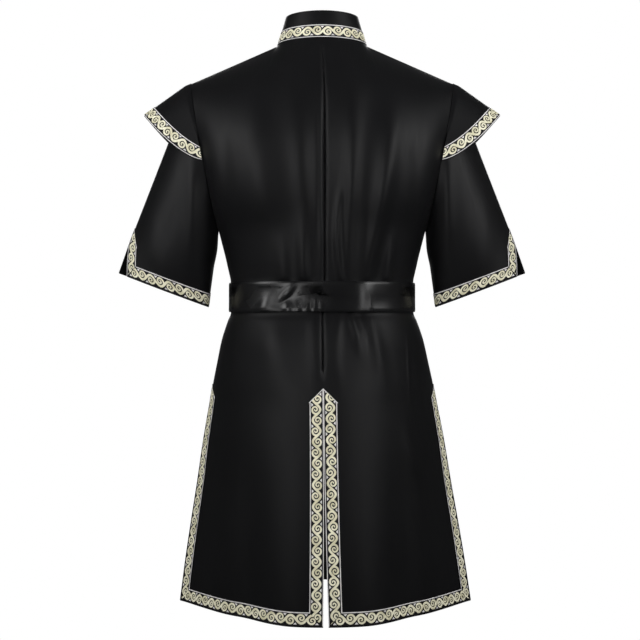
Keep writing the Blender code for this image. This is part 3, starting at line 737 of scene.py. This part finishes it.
def band(form, path, width, height, slot):
    """A flat band along a path, in the ribbon's own plane."""
    ahead = np.gradient(path, axis=0)
    ahead /= np.linalg.norm(ahead, axis=1, keepdims=True)
    side = np.stack([-ahead[:, 1], ahead[:, 0]], axis=-1) * np.reshape(width, (-1, 1)) / 2
    made = bmesh.ops.create_grid(form, x_segments=len(path) - 1, y_segments=1, size=1.0)["verts"]
    for vertex, place in zip(made, np.concatenate([path - side, path + side])):
        vertex.co = (*place, height)
    for face in {face for vertex in made for face in vertex.link_faces}:
        face.material_index = slot


def flat_shape(form, outline, height, slot):
    face = form.faces.new([form.verts.new((*place, height)) for place in outline])
    face.normal_update()
    if face.normal.z < 0:
        face.normal_flip()
    face.material_index = slot


def scroll(form, length, turned):
    """The running scroll, whose curls lie on either side of its stem by turns."""
    angle = np.linspace(CURL_START, CURL_END, CURL_STEPS + 1)
    radius, width = (smooth_table(angle, CURL["turn"], CURL[column]) for column in ("radius", "width"))
    phi = np.radians(angle)
    curl = np.stack([radius * np.sin(phi), CURL_MIDDLE - radius * np.cos(phi)], axis=-1)
    run = np.linspace(-0.5, 0.5, STEM_STEPS + 1)
    stem = np.stack([run * PITCH, -STEM_SWING * np.cos(math.pi * run)], axis=-1)
    middle = np.array([length if turned else 0.0, SCROLL_SHIFT])
    way = -1.0 if turned else 1.0
    for repeat in range(-1, int(length / PITCH) + 2):
        flip = np.array([1.0, SCROLL_SHARE if repeat % 2 == 0 else -SCROLL_SHARE])
        start = np.array([repeat * PITCH, 0.0])
        stem_path, curl_path, leaf = (middle + way * (shape * flip + start) for shape in (stem, curl, LEAF))
        band(form, stem_path, STEM_WIDTH, SCROLL_HEIGHT, SCROLL_SLOT)
        band(form, curl_path, width, SCROLL_HEIGHT + CURL_STEP, SCROLL_SLOT)
        flat_shape(form, leaf, SCROLL_HEIGHT, LINE_SLOT)


def trimmed(form, place, normal):
    geometry = form.verts[:] + form.edges[:] + form.faces[:]
    normal = (*normal, 0.0)
    bmesh.ops.bisect_plane(form, geom=geometry, dist=1e-7, plane_co=place, plane_no=normal, clear_outer=True)


def ribbon_piece(place_name, strip, normals, lines, turned=False, start=0.0, end=0.0, gable=False):
    """Ribbon on a strip of a piece's points, from one end to the other, each end slanted by a length."""
    along = run_along(strip, 0).mean(axis=1)
    length = along[-1]
    form = bmesh.new()
    scroll(form, length, turned)
    steps = np.linspace(0.0, length, int(length / GROUND_STEP) + 2)
    for place, width in lines:
        path = np.stack([steps, np.full_like(steps, place)], axis=-1)
        band(form, path, width, SCROLL_HEIGHT, LINE_SLOT)
    made = bmesh.ops.create_grid(form, x_segments=len(steps) - 1, y_segments=GROUND_CELLS, size=1.0)
    for vertex in made["verts"]:
        vertex.co = ((vertex.co.x + 1.0) / 2 * length, vertex.co.y * HALF_RIBBON, 0.0)
    if gable:
        edge = np.array([(GABLE_LINE, -HALF_RIBBON), (start + GABLE_LINE, HALF_RIBBON)])
        path = blend(edge[0], edge[1], np.linspace(0.0, 1.0, GABLE_STEPS)[:, None])
        band(form, path, GABLE_LINE, SCROLL_HEIGHT + CURL_STEP, LINE_SLOT)
    trimmed(form, (MITRE_GAP, -HALF_RIBBON, 0.0), (-RIBBON_WIDTH, start))
    trimmed(form, (length - MITRE_GAP, -HALF_RIBBON, 0.0), (RIBBON_WIDTH, end))
    trimmed(form, (0.0, HALF_RIBBON, 0.0), (0.0, 1.0))
    trimmed(form, (0.0, -HALF_RIBBON, 0.0), (0.0, -1.0))
    cut = form.loops.layers.uv.new("cut")
    for face in form.faces:
        for corner in face.loops:
            corner[cut].uv = corner.vert.co.xy
    ground = [face for face in form.faces if face.material_index == GROUND_SLOT]
    raised = [face for face in form.faces if face.material_index != GROUND_SLOT]
    bmesh.ops.solidify(form, geom=ground, thickness=RIBBON_GROUND)
    bmesh.ops.solidify(form, geom=raised, thickness=SCROLL_HEIGHT)
    flat = np.array([vertex.co for vertex in form.verts])
    row = np.interp(flat[:, 0], along, np.arange(len(along)))
    column = np.clip((flat[:, 1] + HALF_RIBBON) / RIBBON_WIDTH, 0.0, 1.0) * (strip.shape[1] - 1)
    first_row = np.minimum(row.astype(int), strip.shape[0] - 2)
    first_column = np.minimum(column.astype(int), strip.shape[1] - 2)
    down = (row - first_row)[:, None]
    across = (column - first_column)[:, None]

    def on_strip(grid):
        near = blend(grid[first_row, first_column], grid[first_row, first_column + 1], across)
        far = blend(grid[first_row + 1, first_column], grid[first_row + 1, first_column + 1], across)
        return blend(near, far, down)

    height = RIBBON_LIFT + RIBBON_GROUND + flat[:, 2:]
    for vertex, place in zip(form.verts, on_strip(strip) + on_strip(normals) * height):
        vertex.co = place
    turn = np.cross(np.gradient(strip, axis=0), np.gradient(strip, axis=1))
    if np.sum(turn * normals) < 0:
        bmesh.ops.reverse_faces(form, faces=form.faces[:])
    name, node = f"trim_{place_name}", f"ribbon_{place_name}"
    return finished_piece(name, form, RIBBON_FINISHES, node, sharp_angle=40)


def first_columns(grid, top):
    return tuple(part[top:, : EDGE_CELLS + 1] for part in grid)


def last_columns(grid, top):
    return tuple(part[top:, : -EDGE_CELLS - 2 : -1] for part in grid)


def last_rows(grid):
    return tuple(part[: -EDGE_CELLS - 2 : -1].transpose(1, 0, 2) for part in grid)


RIBBON_FINISHES = ribbon_finishes()
BOTH_LINES = (INNER_LINE, OUTER_LINE)
ONE_LINE = (INNER_LINE,)
VENT_ROW = YOKE_ROWS + BODICE_ROWS
for hand_name, hand in HANDS.items():
    on_left, on_right = hand == LEFT, hand == RIGHT
    back, front, sleeve = PANELS[BACK, hand_name], PANELS[FRONT, hand_name], SLEEVES[hand_name]
    strip = first_columns(back, VENT_ROW)
    vent = ribbon_piece(f"back_vent_{hand_name}", *strip, BOTH_LINES, on_right, MITRE, MITRE, gable=True)
    strip = last_columns(back, VENT_ROW)
    side = ribbon_piece(f"back_side_{hand_name}", *strip, ONE_LINE, on_left, MITRE, MITRE, gable=True)
    hem = ribbon_piece(f"back_hem_{hand_name}", *last_rows(back), ONE_LINE, start=MITRE, end=MITRE)
    trims = [vent, side, hem]
    strip = last_columns(front, VENT_ROW)
    side = ribbon_piece(f"front_side_{hand_name}", *strip, ONE_LINE, on_left, MITRE, MITRE, gable=True)
    hem = ribbon_piece(f"front_hem_{hand_name}", *last_rows(front), ONE_LINE, end=MITRE)
    trims = [ribbon_piece(f"sleeve_hem_{hand_name}", *last_rows(sleeve), ONE_LINE, start=MITRE, end=MITRE)]
    for edge_name, columns in (("back", first_columns), ("front", last_columns)):
        strip = columns(sleeve, SLEEVE_UPPER_ROWS)
        name = f"sleeve_vent_{edge_name}_{hand_name}"
        trims.append(ribbon_piece(name, *strip, BOTH_LINES, True, SLEEVE_TAPER, MITRE, gable=True))
    trim = ribbon_piece(f"cap_{hand_name}", *last_rows(CAPS[hand_name]), BOTH_LINES, on_left)
strip = tuple(part[: EDGE_CELLS + 1].transpose(1, 0, 2) for part in COLLAR)
trim = ribbon_piece("collar", *strip, BOTH_LINES)

# Belt: a broad band of glossy black imitation leather with folded edges, drawn tight round the waist so that
# it wrinkles at the back. Its ends lap at the front.
LEATHER, BELT_WALL = 0.0025, 0.0018
BELT_HALF_HEIGHT = 0.025
BELT_CLEARANCE = 0.0008
BELT_LAP = math.radians(14)
BELT_LAP_RISE = (math.radians(120), math.radians(160))
BELT_LAP_GAP = 0.0006
BELT_CELLS, BELT_ROWS = 420, 24
BELT_EDGE, BELT_EDGE_WIDTH = 0.0009, 0.0016
BELT_FLARE = 0.0030
BELT_WRINKLES = np.array(
    [
        (0.044, -0.424, 0.076, -0.464, 0.000, 0.0030, 0.0045, 0.006, 0.50),
        (0.092, -0.436, 0.104, -0.486, 0.000, 0.0026, 0.010, 0.014, 0.60),
        (0.060, -0.452, 0.056, -0.490, 0.000, 0.0016, 0.007, 0.007, 0.45),
        (0.042, -0.450, 0.040, -0.490, 0.000, 0.0014, 0.0055, 0.006, 0.45),
        (0.027, -0.448, 0.026, -0.490, 0.000, 0.0014, 0.004, 0.0045, 0.50),
        (0.014, -0.448, 0.012, -0.490, 0.000, 0.0012, 0.0035, 0.004, 0.50),
        (0.003, -0.452, 0.001, -0.490, 0.000, 0.0008, 0.004, 0.004, 0.50),
        (-0.068, -0.384, -0.070, -0.514, 0.000, 0.0058, 0.026, 0.026, 0.50),
        (-0.079, -0.444, -0.080, -0.490, 0.000, 0.0008, 0.003, 0.003, 0.50),
        (0.128, -0.428, 0.136, -0.472, 0.000, 0.0010, 0.008, 0.007, 0.50),
    ],
    dtype=FOLD_TYPE,
)


def leather_finish():
    material, tree, shader = new_finish("imitation_leather")
    shader.inputs["Specular IOR Level"].default_value = 0.5
    smears = ranged(tree, stretched_noise(tree, (20.0, 30.0), 1.0), 0.0, 1.0)
    colour = mixed_colour(tree, smears, (0.004, 0.004, 0.0044), (0.006, 0.006, 0.0064))
    tree.links.new(colour, shader.inputs["Base Color"])
    dullness = ranged(tree, stretched_noise(tree, (25.0, 25.0), 1.0), 0.23, 0.28)
    tree.links.new(dullness, shader.inputs["Roughness"])
    grain = stretched_noise(tree, (900.0, 900.0), 2.0)
    tree.links.new(bumped(tree, grain, 0.05, 0.0002), shader.inputs["Normal"])
    return material


def belt_points():
    """Outer face of the belt, from the end that lies underneath to the end that laps over it."""
    turn = np.linspace(-math.pi - BELT_LAP, math.pi + BELT_LAP, BELT_CELLS + 1)
    lapped = (LEATHER + BELT_LAP_GAP) * ease(turn, *BELT_LAP_RISE)
    stand_off = BELT_CLEARANCE + LEATHER + lapped
    depth = np.where(np.cos(turn) > 0, body_at("back", WAIST), body_at("front", WAIST))
    x = (body_at("half_width", WAIST) + stand_off) * np.sin(turn)
    y = (depth + stand_off) * np.cos(turn)
    z = np.linspace(WAIST + BELT_HALF_HEIGHT, WAIST - BELT_HALF_HEIGHT, BELT_ROWS + 1)
    points = np.stack(np.broadcast_arrays(x, y, z[:, None]), axis=-1)
    normals = facing_out(points, points * (0, 0, 1))
    behind = np.clip(normals[..., 1:2], 0.0, 1.0)
    wrinkles = fold_rise(BELT_WRINKLES, points[..., 0], points[..., 2])[..., None] * behind
    from_edge = BELT_HALF_HEIGHT - abs(points[..., 2:] - WAIST)
    rounding = BELT_EDGE * np.exp(-((from_edge / BELT_EDGE_WIDTH) ** 2))
    below = np.clip((WAIST - points[..., 2:]) / BELT_HALF_HEIGHT, 0.0, 1.0)
    points += normals * (wrinkles + BELT_FLARE * below**2 * behind - rounding)
    return points, facing_out(points, points * (0, 0, 1))


points, normals = belt_points()
form = grid_form(points, normals)
bmesh.ops.solidify(form, geom=form.verts[:] + form.edges[:] + form.faces[:], thickness=BELT_WALL)
finished_piece("leather_belt", form, [leather_finish()], "belt")

# Setting: a pale floor well below the hem and a white backdrop. Narrow softboxes at either side put the
# gloss on the satin's folds, a small lamp glints on the belt, and broad fills light the ribbon.
FLOOR_LEVEL, FLOOR_RADIUS = -1.48, 1.45
CAMERA_PLACE = (0.0036, 2.1, -0.490)
CAMERA_LENS = 66.0
LIGHT_TARGET = np.array([0.0, 0.0, -0.15])
BACKDROP_LIGHT = 0.05


def pale_floor():
    material, _, shader = new_finish("pale_floor")
    shader.inputs["Base Color"].default_value = (0.9, 0.9, 0.9, 1.0)
    shader.inputs["Roughness"].default_value = 0.9
    form = bmesh.new()
    bmesh.ops.create_circle(form, cap_ends=True, segments=96, radius=FLOOR_RADIUS)
    bmesh.ops.translate(form, verts=form.verts[:], vec=(0.0, 0.0, FLOOR_LEVEL))
    mesh = bpy.data.meshes.new("floor")
    form.to_mesh(mesh)
    form.free()
    mesh.materials.append(material)
    floor = bpy.data.objects.new("floor", mesh)
    floor.visible_glossy = False
    bpy.context.scene.collection.objects.link(floor)


def softbox(name, place, size, power, spread=180, in_gloss=True):
    lamp = bpy.data.lights.new(name, "AREA")
    lamp.shape = "RECTANGLE"
    lamp.size, lamp.size_y = size
    lamp.energy = power
    lamp.spread = math.radians(spread)
    holder = bpy.data.objects.new(name, lamp)
    aim = bpy.data.objects.new(name + "_aim", None)
    holder.location = place
    aim.location = LIGHT_TARGET
    holder.visible_glossy = in_gloss
    for thing in (holder, aim):
        bpy.context.scene.collection.objects.link(thing)
    turn = holder.constraints.new("TRACK_TO")
    turn.target = aim
    turn.track_axis = "TRACK_NEGATIVE_Z"
    turn.up_axis = "UP_Y"


def white_backdrop():
    world = bpy.data.worlds.new("backdrop")
    world.use_nodes = True
    tree = world.node_tree
    background = tree.nodes["Background"]
    ray = tree.nodes.new("ShaderNodeLightPath")
    strength = tree.nodes.new("ShaderNodeMapRange")
    strength.inputs["To Min"].default_value = BACKDROP_LIGHT
    strength.inputs["To Max"].default_value = 1.0
    background.inputs["Color"].default_value = (1.0, 1.0, 1.0, 1.0)
    tree.links.new(ray.outputs["Is Camera Ray"], strength.inputs["Value"])
    tree.links.new(strength.outputs["Result"], background.inputs["Strength"])
    bpy.context.scene.world = world


pale_floor()
white_backdrop()
softbox("softbox_left", (1.85, 1.25, 0.64), (0.9, 1.5), 1.16, 42)
softbox("softbox_right", (-1.85, 1.25, 0.64), (0.9, 1.5), 1.32, 42)
softbox("window_left", (1.15, 2.1, -0.10), (0.9, 1.0), 0.54, 36)
softbox("window_right", (-1.35, 2.0, -0.10), (0.7, 1.0), 0.28, 36)
softbox("belt_glint", (0.35, 2.4, 0.35), (0.3, 0.25), 1.2)
softbox("viewer_fill", (0.0, 2.8, 0.6), (3.0, 1.6), 33.0, in_gloss=False)
softbox("front_fill", (0.0, -2.8, 0.6), (3.0, 1.6), 36.0, in_gloss=False)
softbox("side_fill_left", (2.6, 0.3, 0.3), (1.6, 1.6), 14.0, in_gloss=False)
softbox("side_fill_right", (-2.6, 0.3, 0.3), (1.6, 1.6), 14.0, in_gloss=False)
softbox("overhead", (0.0, 0.0, 2.6), (3.0, 3.0), 44.0, in_gloss=False)
softbox("front_left", (1.0, -2.7, 0.6), (0.9, 1.2), 14.0)
softbox("front_right", (-1.0, -2.7, 0.6), (0.9, 1.2), 14.0)
camera = bpy.data.objects.new("camera", bpy.data.cameras.new("camera"))
camera.data.lens = CAMERA_LENS
camera.location = CAMERA_PLACE
camera.rotation_euler = (math.pi / 2, 0.0, math.pi)
bpy.context.scene.collection.objects.link(camera)
bpy.context.scene.camera = camera
bpy.context.scene.view_settings.view_transform = "Standard"
